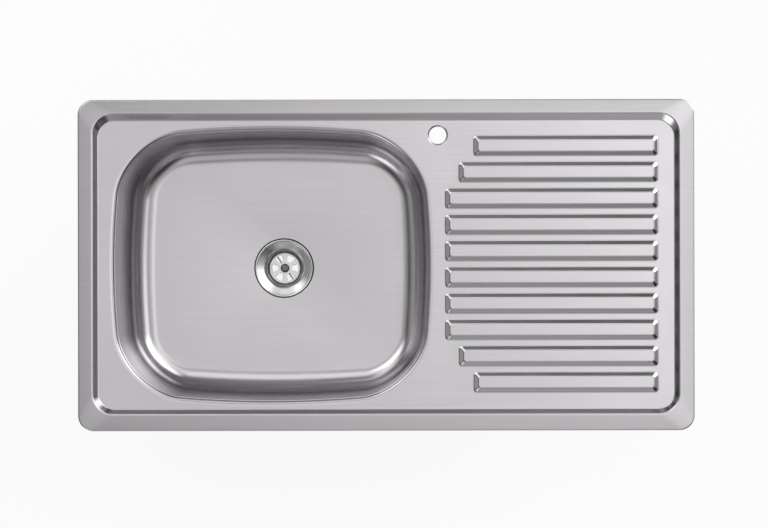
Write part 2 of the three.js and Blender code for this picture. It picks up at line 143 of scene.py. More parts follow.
def newGroup(name, inputs, outputs):
    tree = bpy.data.node_groups.new(name, "ShaderNodeTree")
    for label, kind, value in inputs:
        socket = tree.interface.new_socket(label, in_out="INPUT", socket_type="NodeSocket" + kind)
        if value is not None:
            socket.default_value = value
    for label, kind in outputs:
        tree.interface.new_socket(label, in_out="OUTPUT", socket_type="NodeSocket" + kind)
    given = tree.nodes.new("NodeGroupInput").outputs
    wanted = tree.nodes.new("NodeGroupOutput").inputs
    return tree, given, wanted


def useGroup(tree, group, **values):
    made = tree.nodes.new("ShaderNodeGroup")
    made.node_tree = group
    setInputs(tree, made, values)
    return made.outputs


# Shared effects

# Long fine scratches that run along X, and along Y on the faces that look along X
def brushedGrain():
    tree, given, wanted = newGroup(
        "brushed grain",
        [("Along", "Float", 8.0), ("Across", "Float", 900.0), ("Detail", "Float", 3.0)],
        [("Grain", "Float")],
    )
    place = objectPlace(tree)
    normal = addNode(tree, "NewGeometry").outputs["Normal"]
    sideways = mathNode(tree, "ABSOLUTE", addNode(tree, "SeparateXYZ", {0: normal}).outputs["X"])
    endOn = ranged(tree, sideways, 0.55, 0.8, 0.0, 1.0, smooth=True)
    rows = []
    for first, second in (("Along", "Across"), ("Across", "Along")):
        scale = addNode(tree, "CombineXYZ", {0: given[first], 1: given[second], 2: given["Across"]})
        stretched = vectorNode(tree, "MULTIPLY", place, scale.outputs[0])[0]
        rows.append(noiseAt(tree, stretched, 1.0, given["Detail"]))
    mixed = addNode(tree, "Mix", {0: endOn, 2: rows[0], 3: rows[1]}, data_type="FLOAT")
    tree.links.new(mixed.outputs[0], wanted["Grain"])
    return tree


# Soft blotches, for what hands, water and handling leave on a surface
def blotches():
    tree, given, wanted = newGroup(
        "blotches",
        [("Scale", "Float", 20.0), ("Low", "Float", 0.35), ("High", "Float", 0.65)],
        [("Blotch", "Float")],
    )
    noise = noiseAt(tree, objectPlace(tree), given["Scale"], 5.0, Roughness=0.6)
    value = ranged(tree, noise, given["Low"], given["High"], 0.0, 1.0, smooth=True)
    tree.links.new(value, wanted["Blotch"])
    return tree


# Convex edges lightened, broken up a little: partly rubbing, partly a painted highlight on the bevels
def edgeWearAndHighlight():
    tree, given, wanted = newGroup(
        "edge wear",
        [("Start", "Float", 0.51), ("Full", "Float", 0.6), ("Scale", "Float", 400.0)],
        [("WearAndHighlight", "Float")],
    )
    noise = noiseAt(tree, objectPlace(tree), given["Scale"], 3.0)
    pointed = addNode(tree, "NewGeometry").outputs["Pointiness"]
    edge = ranged(tree, pointed, given["Start"], given["Full"], 0.0, 1.0)
    broken = ranged(tree, noise, 0.3, 0.6, 0.35, 1.0)
    tree.links.new(mathNode(tree, "MULTIPLY", edge, broken, clamp=True), wanted["WearAndHighlight"])
    return tree


# Fine rings left by a lathe or a polishing wheel, round an axis at the given point
def turnedRings():
    tree, given, wanted = newGroup(
        "turned rings",
        [("Centre", "Vector", (0.0, 0.0, 0.0)), ("Rings", "Float", 2500.0)],
        [("Ring", "Float")],
    )
    local = vectorNode(tree, "SUBTRACT", objectPlace(tree), given["Centre"])[0]
    axes = addNode(tree, "SeparateXYZ", {0: local}).outputs
    flat = addNode(tree, "CombineXYZ", {0: axes["X"], 1: axes["Y"]}).outputs[0]
    radius = vectorNode(tree, "LENGTH", flat)["Value"]
    line = addNode(tree, "CombineXYZ", {0: radius, 1: axes["Z"]}).outputs[0]
    inputs = {"Vector": line, "Scale": given["Rings"], "Detail": 2.0}
    noise = addNode(tree, "TexNoise", inputs, noise_dimensions="2D")
    tree.links.new(noise.outputs["Fac"], wanted["Ring"])
    return tree


grainGroup = brushedGrain()
blotchGroup = blotches()
wearAndHighlightGroup = edgeWearAndHighlight()
ringGroup = turnedRings()


# Materials

def newMaterial(name, **constants):
    material = bpy.data.materials.new(name)
    material.use_nodes = True
    tree = material.node_tree
    shader = tree.nodes["Principled BSDF"]
    for label, value in constants.items():
        shader.inputs[label.replace("_", " ")].default_value = value
    return material, tree, shader


def mixColours(tree, shader, mask, low, high):
    mixed = addNode(tree, "Mix", {0: mask, 6: low, 7: high}, data_type="RGBA")
    tree.links.new(mixed.outputs[2], shader.inputs["Base Color"])
    return mixed.outputs[2]


def setColour(tree, shader, mask, low, high):
    return mixColours(tree, shader, mask, (*low, 1), (*high, 1))


def setRoughness(tree, shader, value):
    tree.links.new(value, shader.inputs["Roughness"])


def setBump(tree, shader, *layers):
    previous = None
    for height, distance in layers:
        inputs = {"Height": height, "Distance": distance, "Strength": 1.0}
        if previous:
            inputs["Normal"] = previous
        previous = addNode(tree, "Bump", inputs).outputs["Normal"]
    tree.links.new(previous, shader.inputs["Normal"])


# Two masks weighed against each other
def blend(tree, first, second, share):
    weighed = mathNode(tree, "MULTIPLY", first, share)
    return mathNode(tree, "ADD", weighed, mathNode(tree, "MULTIPLY", second, 1 - share))


# A roughness that runs with a mask, and is a little higher where there are marks
def markedRoughness(tree, shader, mask, span, marks, rise):
    streaky = ranged(tree, mask, 0.3, 0.7, *span)
    setRoughness(tree, shader, mathNode(tree, "ADD", streaky, mathNode(tree, "MULTIPLY", marks, rise)))


def blotchAt(tree, scale, low=0.35, high=0.65):
    return useGroup(tree, blotchGroup, Scale=scale, Low=low, High=high)["Blotch"]


def ringsRound(tree, node, rings):
    x, y, z = Vector(middleOf(node)) * mm
    return useGroup(tree, ringGroup, Centre=(x, y, 0), Rings=rings)["Ring"]


def satinSteel(name, look):
    material, tree, shader = newMaterial(name, Metallic=1.0)
    fine, broad = [
        useGroup(tree, grainGroup, Along=along, Across=across)["Grain"]
        for along, across in (look["grain"], look["broad"])
    ]
    marks = blotchAt(tree, 14.0, 0.3, 0.75)
    tone = blend(tree, fine, broad, 0.6)
    setColour(tree, shader, ranged(tree, tone, 0.3, 0.7, 0.0, 1.0), look["dark"], look["light"])
    markedRoughness(tree, shader, tone, look["roughness"], marks, 0.03)
    waves = noiseAt(tree, objectPlace(tree), look["waveScale"], 1.0)
    setBump(tree, shader, (fine, look["scratchDepth"]), (waves, look["waveDepth"]))
    return material


def polishedSteel():
    look = {
        "dark": (0.66, 0.66, 0.66),
        "light": (0.74, 0.74, 0.735),
        "roughness": (0.2, 0.28),
        "rings": 2600.0,
        "ringDepth": 0.0000008,
    }
    material, tree, shader = newMaterial("polished steel", Metallic=1.0)
    ring = ringsRound(tree, "waste_screw", look["rings"])
    marks = blotchAt(tree, 60.0)
    setColour(tree, shader, ring, look["dark"], look["light"])
    markedRoughness(tree, shader, ring, look["roughness"], marks, 0.04)
    setBump(tree, shader, (ring, look["ringDepth"]))
    return material


# Steel darkened as painted shade, with turned rings and random blotches
def shadeSteel(name, look):
    material, tree, shader = newMaterial(name, Metallic=1.0)
    ring = ringsRound(tree, "waste_screw", look["rings"])
    stain = blotchAt(tree, 220.0, 0.35, 0.7)
    setColour(tree, shader, blend(tree, ring, stain, 0.5), look["dark"], look["light"])
    setRoughness(tree, shader, ranged(tree, stain, 0.0, 1.0, *look["roughness"]))
    setBump(tree, shader, (ring, look["ringDepth"]))
    return material


def zincSteel():
    look = {
        "dull": (0.46, 0.48, 0.50),
        "bright": (0.66, 0.68, 0.70),
        "wornAndHighlit": (0.80, 0.80, 0.79),
        "roughness": (0.28, 0.46),
        "spangle": 160.0,
        "pits": 2200.0,
        "pitDepth": 0.0000025,
    }
    material, tree, shader = newMaterial("zinc plated steel", Metallic=1.0)
    place = objectPlace(tree)
    spangle = addNode(tree, "TexVoronoi", {"Vector": place, "Scale": look["spangle"]}).outputs["Color"]
    patch = addNode(tree, "SeparateColor", {0: spangle}).outputs["Red"]
    cloud = blotchAt(tree, 55.0, 0.3, 0.7)
    mask = blend(tree, patch, cloud, 0.35)
    plain = setColour(tree, shader, mask, look["dull"], look["bright"])
    # Edges lightened: rubbed plating and a painted highlight on the bevels
    wearAndHighlight = useGroup(tree, wearAndHighlightGroup, Start=0.52, Full=0.62, Scale=900.0)["WearAndHighlight"]
    mixColours(tree, shader, wearAndHighlight, plain, (*look["wornAndHighlit"], 1))
    setRoughness(tree, shader, ranged(tree, mask, 0.0, 1.0, *look["roughness"]))
    setBump(tree, shader, (noiseAt(tree, place, look["pits"], 2.0), look["pitDepth"]))
    return material


def foamStrip():
    look = {"dark": (0.012, 0.012, 0.013), "light": (0.05, 0.05, 0.052), "cells": 1300.0, "depth": 0.00025}
    material, tree, shader = newMaterial("sealing foam", Roughness=0.95, Specular_IOR_Level=0.2)
    inputs = {"Vector": objectPlace(tree), "Scale": look["cells"]}
    cells = addNode(tree, "TexVoronoi", inputs).outputs["Distance"]
    setColour(tree, shader, ranged(tree, cells, 0.1, 0.7, 1.0, 0.0), look["dark"], look["light"])
    setBump(tree, shader, (cells, look["depth"]))
    return material


def blackRubber(name, look):
    material, tree, shader = newMaterial(name)
    bloom = blotchAt(tree, 45.0, 0.35, 0.75)
    setColour(tree, shader, bloom, look["dark"], look["bloom"])
    setRoughness(tree, shader, ranged(tree, bloom, 0.0, 1.0, 0.55, 0.8))
    setBump(tree, shader, (noiseAt(tree, objectPlace(tree), look["texture"], 3.0), look["depth"]))
    return material


def whitePlastic():
    look = {
        "base": (0.76, 0.75, 0.72),
        "light": (0.84, 0.83, 0.80),
        "wornAndHighlit": (0.88, 0.87, 0.85),
        "roughness": (0.42, 0.55),
        "texture": 1500.0,
        "depth": 0.00001,
    }
    material, tree, shader = newMaterial("moulded white plastic")
    cloud = blotchAt(tree, 30.0, 0.3, 0.7)
    plain = setColour(tree, shader, cloud, look["base"], look["light"])
    # Edges lightened: scuffing and a painted highlight on the bevels
    wearAndHighlight = useGroup(tree, wearAndHighlightGroup, Start=0.52, Full=0.64, Scale=300.0)["WearAndHighlight"]
    mixColours(tree, shader, wearAndHighlight, plain, (*look["wornAndHighlit"], 1))
    setRoughness(tree, shader, ranged(tree, cloud, 0.0, 1.0, *look["roughness"]))
    setBump(tree, shader, (noiseAt(tree, objectPlace(tree), look["texture"], 2.0), look["depth"]))
    return material


def machinedBrass():
    look = {
        "dark": (0.50, 0.36, 0.15),
        "light": (0.78, 0.60, 0.30),
        "roughness": (0.22, 0.38),
        "rings": 1800.0,
        "ringDepth": 0.000002,
    }
    material, tree, shader = newMaterial("machined brass", Metallic=1.0)
    ring = ringsRound(tree, "waste_insert", look["rings"])
    tarnish = blotchAt(tree, 120.0)
    setColour(tree, shader, tarnish, look["light"], look["dark"])
    setRoughness(tree, shader, ranged(tree, ring, 0.3, 0.7, *look["roughness"]))
    setBump(tree, shader, (ring, look["ringDepth"]))
    return material


satin = satinSteel("satin steel", {
    "dark": (0.53, 0.512, 0.53),
    "light": (0.59, 0.571, 0.59),
    "roughness": (0.15, 0.21),
    "grain": (28.0, 2600.0),  # per metre, along and across the brushing
    "broad": (7.0, 420.0),
    "scratchDepth": 0.0000004,
    "waveScale": 5.0,
    "waveDepth": 0.0003,
})
bowlSatin = satinSteel("satin steel of the bowl", {
    "dark": (0.545, 0.527, 0.545),
    "light": (0.58, 0.561, 0.58),
    "roughness": (0.215, 0.235),
    "grain": (18.0, 1500.0),
    "broad": (5.0, 160.0),
    "scratchDepth": 0.0000003,
    "waveScale": 5.0,
    "waveDepth": 0.0003,
})
polished = polishedSteel()
# Near-black steel as painted shade, for the waste screw and the bar seen through the grid
dark = shadeSteel("dark steel as painted shade", {
    "dark": (0.10, 0.10, 0.105),
    "light": (0.26, 0.26, 0.265),
    "roughness": (0.25, 0.42),
    "rings": 1500.0,
    "ringDepth": 0.000002,
})
# Grey steel as painted shade, for the tap hole's drawn edge and the waste's well wall
greyShadeSteel = shadeSteel("grey steel as painted shade", {
    "dark": (0.24, 0.24, 0.245),
    "light": (0.44, 0.44, 0.44),
    "roughness": (0.25, 0.42),
    "rings": 900.0,
    "ringDepth": 0.000002,
})
zinc = zincSteel()
foam = foamStrip()
rubber = blackRubber("gasket rubber", {
    "dark": (0.018, 0.018, 0.019),
    "bloom": (0.05, 0.05, 0.05),
    "texture": 700.0,
    "depth": 0.00002,
})
padding = blackRubber("sound pad", {
    "dark": (0.03, 0.03, 0.031),
    "bloom": (0.085, 0.083, 0.08),
    "texture": 260.0,
    "depth": 0.00025,
})
plastic = whitePlastic()
brass = machinedBrass()
print("materials:", len(bpy.data.materials))


# Modelling helpers

def inset(box, distance):
    x0, x1, y0, y1 = box
    return x0 + distance, x1 - distance, y0 + distance, y1 - distance


def rectangle(x0, x1, y0, y1):
    return [(x0, y0), (x1, y0), (x1, y1), (x0, y1)]


# Points of a bend that leaves start and reaches end along the lines through corner
def bent(start, corner, end, steps):
    points = []
    for i in range(steps + 1):
        t = i / steps
        ways = zip(start, corner, end)
        points.append(tuple(a * (1 - t) ** 2 + 2 * c * t * (1 - t) + b * t * t for a, c, b in ways))
    return points


def arcPoints(centre, radius, first, last, steps):
    angles = [math.radians(first + (last - first) * i / steps) for i in range(steps + 1)]
    return [(centre[0] + radius * math.cos(a), centre[1] + radius * math.sin(a)) for a in angles]


def bevelled(bm, geom, width, steps, affect="VERTICES"):
    return bmesh.ops.bevel(
        bm, geom=geom, offset=width, offset_type="OFFSET", segments=steps,
        profile=0.5, affect=affect, material=-1, clamp_overlap=affect == "EDGES",
    )


# A rectangle whose corners are rounded by a vertex bevel, its sides cut evenly; gives its edges
def roundedLoop(bm, box, radius, z, steps, keepFace=False, sideCuts=0):
    corners = [bm.verts.new((x, y, z)) for x, y in rectangle(*box)]
    bm.faces.new(corners)
    face = bevelled(bm, corners, radius, steps)["verts"][0].link_faces[0]
    if sideCuts:
        sides = sorted(face.edges, key=lambda edge: edge.calc_length())[-4:]
        bmesh.ops.subdivide_edges(bm, edges=sides, cuts=sideCuts)
        face = sides[0].link_faces[0]
    edges = list(face.edges)
    if not keepFace:
        bmesh.ops.delete(bm, geom=[face], context="FACES_ONLY")
    return edges


def circleLoop(bm, centre, radius, z, steps):
    made = bmesh.ops.create_circle(bm, cap_ends=False, radius=radius, segments=steps)["verts"]
    bmesh.ops.translate(bm, verts=made, vec=(centre[0], centre[1], z))
    return list({edge for vert in made for edge in vert.link_edges})


def loft(bm, loops):
    for first, second in zip(loops, loops[1:]):
        bmesh.ops.bridge_loops(bm, edges=first + second)


def vertsOf(edges):
    return {vert for edge in edges for vert in edge.verts}


def ofKind(made, kind):
    return [item for item in made if isinstance(item, kind)]


# Each shape is made in a bmesh of its own, and then joined to the piece it belongs to
def joinTo(bm, part, matrix=None):
    if matrix:
        bmesh.ops.transform(part, matrix=matrix, verts=part.verts)
    carrier = bpy.data.meshes.new("part")
    part.to_mesh(carrier)
    part.free()
    bm.from_mesh(carrier)
    bpy.data.meshes.remove(carrier)


# Lays new edges where a plane crosses the skin
def cutEdges(bm, point, normal):
    bmesh.ops.bisect_plane(
        bm, geom=bm.verts[:] + bm.edges[:] + bm.faces[:], dist=0.0001, plane_co=point, plane_no=normal,
    )


# Turns an open or closed profile of (radius, height) about the vertical axis
def spun(profile, steps, closed=False):
    bm = bmesh.new()
    verts = [bm.verts.new((radius, 0, z)) for radius, z in profile]
    pairs = list(zip(verts, verts[1:])) + ([(verts[-1], verts[0])] if closed else [])
    edges = [bm.edges.new(pair) for pair in pairs]
    bmesh.ops.spin(
        bm, geom=verts + edges, cent=(0, 0, 0), axis=up, angle=math.tau, steps=steps,
        use_merge=True, use_normal_flip=False, use_duplicate=False,
    )
    bmesh.ops.remove_doubles(bm, verts=bm.verts, dist=0.0005)
    bmesh.ops.recalc_face_normals(bm, faces=bm.faces)
    return bm


# Turns an open sheet so that its faces look mainly in the given direction
def faceTowards(bm, towards):
    bmesh.ops.recalc_face_normals(bm, faces=bm.faces)
    if sum(face.normal.dot(towards) * face.calc_area() for face in bm.faces) < 0:
        bmesh.ops.reverse_faces(bm, faces=bm.faces)


# A flat plate from an outline in the XY plane, as thick as given, downwards from its top
def plate(outline, thickness, top=0.0, cornerRadius=0.0, soften=0.0):
    bm = bmesh.new()
    verts = [bm.verts.new((x, y, top)) for x, y in outline]
    bm.faces.new(verts)
    if cornerRadius:
        bevelled(bm, verts, cornerRadius, 5)
    made = bmesh.ops.extrude_face_region(bm, geom=bm.faces[:])["geom"]
    bmesh.ops.translate(bm, verts=ofKind(made, bmesh.types.BMVert), vec=(0, 0, -thickness))
    bmesh.ops.recalc_face_normals(bm, faces=bm.faces)
    if soften:
        softenEdges(bm, soften)
    return bm


def cuboid(x0, x1, y0, y1, z0, z1, soften=0.0, steps=2):
    bm = bmesh.new()
    place = Matrix.Translation(((x0 + x1) / 2, (y0 + y1) / 2, (z0 + z1) / 2))
    place = place @ Matrix.Diagonal((x1 - x0, y1 - y0, z1 - z0, 1))
    bmesh.ops.create_cube(bm, size=1, matrix=place)
    if soften:
        softenEdges(bm, soften, steps)
    return bm


def softenEdges(bm, width, steps=2, minAngle=30):
    edges = [
        edge for edge in bm.edges
        if len(edge.link_faces) == 2 and edge.calc_face_angle(0) > math.radians(minAngle)
    ]
    bevelled(bm, edges, width, steps, "EDGES")


def turned(degrees, axis="Z"):
    return Matrix.Rotation(math.radians(degrees), 4, axis)


def moved(x=0.0, y=0.0, z=0.0):
    return Matrix.Translation((x, y, z))


# The profile of a threaded shank: its tip, then rows close enough together to carry the thread
def shankRows(tip, radius, low, high, rows):
    return tip + [(radius, low + (high - low) * i / rows) for i in range(rows + 1)]


# Cuts a thread: draws the skin between two heights in along a helix about the vertical axis
def cutThread(bm, low, high, pitch, depth, minRadius):
    for vert in bm.verts:
        x, y, z = vert.co
        radius = math.hypot(x, y)
        if not low < z < high or radius < minRadius:
            continue
        phase = (z / pitch - math.atan2(y, x) / math.tau) % 1
        fade = min(1, (z - low) / pitch, (high - z) / pitch)
        share = 1 - depth * abs(2 * phase - 1) * fade / radius
        vert.co.x, vert.co.y = x * share, y * share


# Puts a shape into the scene, with a thickness if it is an open sheet
def addPiece(name, bm, material, body, nodes=(), matrix=None, thickness=0.0):
    mesh = bpy.data.meshes.new(name)
    if matrix:
        bmesh.ops.transform(bm, matrix=matrix, verts=bm.verts)
    bmesh.ops.scale(bm, vec=(mm, mm, mm), verts=bm.verts)
    for face in bm.faces:
        face.smooth = True
    for edge in bm.edges:  # shading stays sharp over open edges and tight corners
        edge.smooth = len(edge.link_faces) == 2 and edge.calc_face_angle(0) < math.radians(45)
    bm.to_mesh(mesh)
    bm.free()
    mesh.materials.append(material)
    made = bpy.data.objects.new(name, mesh)
    scene.collection.objects.link(made)
    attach(made, body)
    if nodes:
        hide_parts(*nodes)
    if thickness:
        solid = made.modifiers.new("sheet", "SOLIDIFY")
        solid.thickness = thickness * mm
        solid.offset = -1
        solid.use_even_offset = True
    made.modifiers.new("normals", "WEIGHTED_NORMAL").keep_sharp = True
    return made


# Deck

sheet = 0.8
deck = {
    "outline": rangesOf("deck_pressing")[:4],
    "outlineRadius": 20,
    "edgeFoot": 0.3,
    "edgeRoll": 2.2,
    "edgeTop": 3.2,
    "crest": (-380.8, 380.5, -193.2, 196.8),
    "crestRadius": 27,
    "crestTop": heightsOf("deck_pressing")[1],
    "crestBend": ((-1.7, 0), (0.52, 0.02), (1.3, -1.1)),  # start, corner and end, from the crest inwards
    "foot": (-374.5, 374.4, -186.8, 188.2),
    "footRadius": 22,
    "footBend": ((-1, 0.8), (-0.53, 0), (1.2, 0)),
    "level": -4.5,
    "fallStart": 82,
    "fall": 2.5,  # the far end of the drainer lies this much higher
    "cornerSteps": 14,
}
opening = {
    "middle": (-149.5, 0),
    "length": 416,
    "width": 361,
    "radius": 84,
    "longBow": 1540,  # the sides are curved outwards, with these radii
    "shortBow": 1145,
    "lip": 4,
    "ease": 8,  # slope where the lip's round begins, and how far the deck takes to reach it
    "easeLength": 4.4,
    "drop": 5.2,
    "draft": 2.5,
    "lean": (3.5, -1.3),  # the floor lies this much nearer to the drainer and to the front than the mouth
    "cornerSteps": 18,
    "sideCuts": 9,
}
wasteCentre = middleOf("waste_flange")[:2]
bowl = {
    "weld": 5.25,  # below the deck, where the bowl meets the deck's lip
    "bead": [(0, 0), (0.4, 0.06), (0.95, 0.35), (1.2, 0.9), (1.15, 1.6), (0.7, 2.7), (0.2, 4.2), (0, 6)],
    "depth": 145.5,
    "fillet": 32,
    "filletSteps": 14,
    "floorFall": 3,
    "floorCurve": 1.6,
    "floorCuts": 9,
    "recess": [
        (41.2, 0), (40.7, -0.05), (40.4, -0.4), (40.2, -1.3),
        (39.9, -1.95), (39.5, -2.42), (34, -4.46), (28, -6.68),
    ],
}
tap = {
    "centre": (67.4, 168.6),
    "radius": 13,
    "edge": ((0.5, 0), (0.1, -0.02), (-0.3, -0.3)),
    "drawn": [(-1.3, -0.9), (-1.45, -1.2), (-1.8, -2.2)],  # drawn down in a cone, with a short wall
    "steps": 64,
}
ribs = {
    "count": 10,
    "pitch": 34.12,
    "middle": 1.4,
    "width": 26.4,
    "run": 5.8,
    "height": 3.6,
    "bend": 4,
    "starts": (113.9, 94.7, 77),  # of the outermost rib, the next one, and all the others
    "end": 353.3,
    "footRadius": 5.2,
    "topRadius": 2.6,
    "cornerSteps": 6,
}


# One level of the bowl: its outline drawn in by a distance, with its sides bowed outwards
def bowlLoop(bm, distance, z):
    (x, y), a, b = opening["middle"], opening["length"] / 2, opening["width"] / 2
    share = (deck["level"] - z - bowl["weld"]) / (bowl["depth"] - bowl["weld"])
    share = min(1, max(0, share))
    x, y = x + opening["lean"][0] * share, y + opening["lean"][1] * share
    box = inset((x - a, x + a, y - b, y + b), distance)
    radius = opening["radius"] - distance
    edges = roundedLoop(bm, box, radius, z, opening["cornerSteps"], sideCuts=opening["sideCuts"])
    for vert in vertsOf(edges):
        across, along = vert.co.x - x, vert.co.y - y
        vert.co.x = x + across * (1 - along ** 2 / (opening["shortBow"] * opening["length"]))
        vert.co.y = y + along * (1 - across ** 2 / (opening["longBow"] * opening["width"]))
    return edges


# How far the bowl's wall has come in at a depth below the deck
def wallInset(depth):
    draft = math.radians(opening["draft"])
    start = opening["lip"] * math.cos(draft)
    startDepth = opening["lip"] * (1 - math.sin(draft))
    return start + (depth - startDepth) * math.tan(draft)


# Sections of the rim, from the turned edge in to the flat deck: box, corner radius, height, share of the fall
def rimRows():
    roll = deck["edgeRoll"]
    edge = [(0, deck["edgeFoot"])] + arcPoints((roll, deck["edgeTop"] - roll), roll, 180, 90, 7)
    rows = [(inset(deck["outline"], a), deck["outlineRadius"] - a, z, 0) for a, z in edge]
    for across, rise in bent(*deck["crestBend"], 6):
        rows.append((inset(deck["crest"], across), deck["crestRadius"] - across, deck["crestTop"] + rise, 0))
    for across, rise in bent(*deck["footBend"], 6):
        rows.append((inset(deck["foot"], across), deck["footRadius"] - across, deck["level"] + rise, 1))
    return rows


# Sections of a rib from its foot up to its flat top: distance in from the foot line and height
def ribRows():
    slope = math.atan2(ribs["height"], ribs["run"])
    reach = ribs["bend"] * math.tan(slope / 2)
    along = (reach * math.cos(slope), reach * math.sin(slope))
    foot = bent((-reach, 0), (0, 0), along, 4)
    topLine = (ribs["run"], ribs["height"])
    top = bent((topLine[0] - along[0], topLine[1] - along[1]), topLine, (topLine[0] + reach, topLine[1]), 4)
    return foot + top


def addRib(bm, index, share):
    fromSide = min(index, ribs["count"] - 1 - index, len(ribs["starts"]) - 1)
    y = ribs["middle"] + ribs["pitch"] * ((ribs["count"] - 1) / 2 - index)
    foot = (ribs["starts"][fromSide], ribs["end"], y - ribs["width"] / 2, y + ribs["width"] / 2)
    rows = ribRows()
    first, last = rows[0][0], rows[-1][0]
    loops = []
    for across, rise in rows:
        t = (across - first) / (last - first)
        radius = ribs["footRadius"] + (ribs["topRadius"] - ribs["footRadius"]) * t
        level = deck["level"] + rise
        loops.append(roundedLoop(bm, inset(foot, across), radius, level, ribs["cornerSteps"], across == last))
    loft(bm, loops)
    for loop in loops:
        for vert in vertsOf(loop):
            vert[share] = 1
    return loops[0]


# Sections of the lip round the bowl: the deck falls away gently before it turns down
def lipRows():
    radius, slope, half = opening["lip"], opening["ease"], opening["easeLength"] / 2
    start = (radius * math.sin(math.radians(slope)), -half * math.tan(math.radians(slope)))
    rows = bent((start[0] - 2 * half, 0), (start[0] - half, 0), start, 5)
    centre = (0, start[1] - radius * math.cos(math.radians(slope)))
    rows += arcPoints(centre, radius, 90 - slope, opening["draft"], 9)[1:]
    return rows + [(wallInset(opening["drop"]), -opening["drop"])]


def deckSheet():
    bm = bmesh.new()
    share = bm.verts.layers.float.new("share of the fall")
    rimLoops = []
    for box, radius, z, fallShare in rimRows():
        loop = roundedLoop(bm, box, radius, z, deck["cornerSteps"])
        rimLoops.append(loop)
        for vert in vertsOf(loop):
            vert[share] = fallShare
    loft(bm, rimLoops)

    lipLoops = [bowlLoop(bm, a, deck["level"] + z) for a, z in lipRows()]
    loft(bm, lipLoops)

    holeLoops = [
        circleLoop(bm, tap["centre"], tap["radius"] + a, deck["level"] + z, tap["steps"])
        for a, z in bent(*tap["edge"], 4) + tap["drawn"]
    ]
    loft(bm, holeLoops)

    flat = rimLoops[-1] + lipLoops[0] + holeLoops[0]
    for index in range(ribs["count"]):
        flat += addRib(bm, index, share)
    bmesh.ops.triangle_fill(bm, edges=flat, use_beauty=True)
    cutEdges(bm, (deck["fallStart"], 0, 0), (1, 0, 0))
    run = deck["foot"][1] - deck["fallStart"]
    for vert in bm.verts:
        vert.co.z += vert[share] * deck["fall"] * max(0, vert.co.x - deck["fallStart"]) / run
    faceTowards(bm, up)
    centre, reach = Vector(tap["centre"]), tap["radius"] + tap["edge"][2][0]
    for face in bm.faces:  # the drawn edge of the tap hole takes the grey steel: a painted shade ring round the hole
        if (face.calc_center_median().xy - centre).length < reach:
            face.material_index = 1
    return bm


deckPiece = addPiece(
    "deckSheet", deckSheet(), satin, "sink", ["deck_pressing"], thickness=sheet
)
# second slot: grey steel, painted shade for the tap hole's edge
deckPiece.data.materials.append(greyShadeSteel)
print("deck:", len(deckPiece.data.polygons), "faces")


# Bowl

def bowlShell():
    bm = bmesh.new()
    draft = math.radians(opening["draft"])
    centreDepth = bowl["depth"] - bowl["fillet"]
    tangentDepth = centreDepth + bowl["fillet"] * math.sin(draft)
    centreInset = wallInset(tangentDepth) + bowl["fillet"] * math.cos(draft)
    rows = [(wallInset(bowl["weld"] + down) + across, -bowl["weld"] - down) for across, down in bowl["bead"]]
    for i in range(1, 4):  # the straight wall, in four stretches
        depth = bowl["weld"] + (tangentDepth - bowl["weld"]) * i / 4
        rows.append((wallInset(depth), -depth))
    centre = (centreInset, -centreDepth)
    rows += arcPoints(centre, bowl["fillet"], 180 + opening["draft"], 270, bowl["filletSteps"])
    loops = [bowlLoop(bm, a, deck["level"] + z) for a, z in rows]
    loft(bm, loops)

    floor, fall = deck["level"] - bowl["depth"], bowl["floorFall"]
    count = len(loops[-1])
    rings = [circleLoop(bm, wasteCentre, radius, floor - fall + z, count) for radius, z in bowl["recess"]]
    edge, ring = vertsOf(loops[-1]), vertsOf(rings[0])
    bmesh.ops.bridge_loops(bm, edges=loops[-1] + rings[0])
    spokes = [e for vert in edge for e in vert.link_edges if e.other_vert(vert) in ring]
    bmesh.ops.subdivide_edges(bm, edges=spokes, cuts=bowl["floorCuts"], use_grid_fill=True)
    loft(bm, rings)
    dish = [v for v in bm.verts if floor - fall + 0.001 < v.co.z < floor - 0.001]
    for vert in dish:  # the floor leaves the fillet level and steepens towards the waste
        t = (floor - vert.co.z) / fall
        vert.co.z = floor - fall * t ** bowl["floorCurve"]
    faceTowards(bm, up)
    return bm


bowlPiece = addPiece(
    "bowlShell", bowlShell(), bowlSatin, "sink", ["bowl_pressing"], thickness=sheet
)
print("bowl:", len(bowlPiece.data.polygons), "faces")


# Waste

seat = {"outer": 41.2, "top": -154.8, "slope": 0.369}
dish = {"outer": 36.6, "top": -152.6, "slope": 0.44}
waste = {
    "rim": {"outer": 39.4, "top": 38.3, "foot": -154.2, "crest": -151.8},
    "dishRows": (34, 30.5, 28),
    "throat": 24.6,  # the dish would meet the well here, and is bent down into it
    "well": [(24.15, -161.9), (23.7, -167), (23.25, -174), (22.95, -180)],
    "wellFoot": 22.6,
    "grid": -184,
    "gridRadius": 20.4,
    "boltHole": 3.4,
    "holes": 6,
    "steps": 96,
}


# The height of a slope that falls towards the middle of the waste
def heightOn(slope, radius):
    return slope["top"] - (slope["outer"] - radius) * slope["slope"]


# The rolled edge of one opening of the grid, which is wider at its outer end and has rounded corners
def gridHole():
    look = {"inner": 8.6, "outer": 19.0, "halfInner": 2.9, "halfOuter": 6.5, "bulge": 0.9, "corner": 1.9}
    outline = [
        (look["inner"], -look["halfInner"]),
        (look["outer"] - look["bulge"], -look["halfOuter"]),
        (look["outer"], 0),
        (look["outer"] - look["bulge"], look["halfOuter"]),
        (look["inner"], look["halfInner"]),
    ]
    bm = bmesh.new()
    verts = [bm.verts.new((x, y, waste["grid"])) for x, y in outline]
    bm.faces.new(verts)
    bevelled(bm, verts[:2] + verts[3:], look["corner"], 5)
    bm.faces.ensure_lookup_table()
    face = bm.faces[0]
    for across, down in ((0.22, 0.05), (0.16, 0.14), (0.07, 0.2)):
        bmesh.ops.inset_region(
            bm, faces=[face], thickness=across, depth=0, use_boundary=True, use_even_offset=True,
        )
        bmesh.ops.translate(bm, verts=face.verts, vec=(0, 0, -down))
    bmesh.ops.delete(bm, geom=[face], context="FACES_ONLY")
    return bm


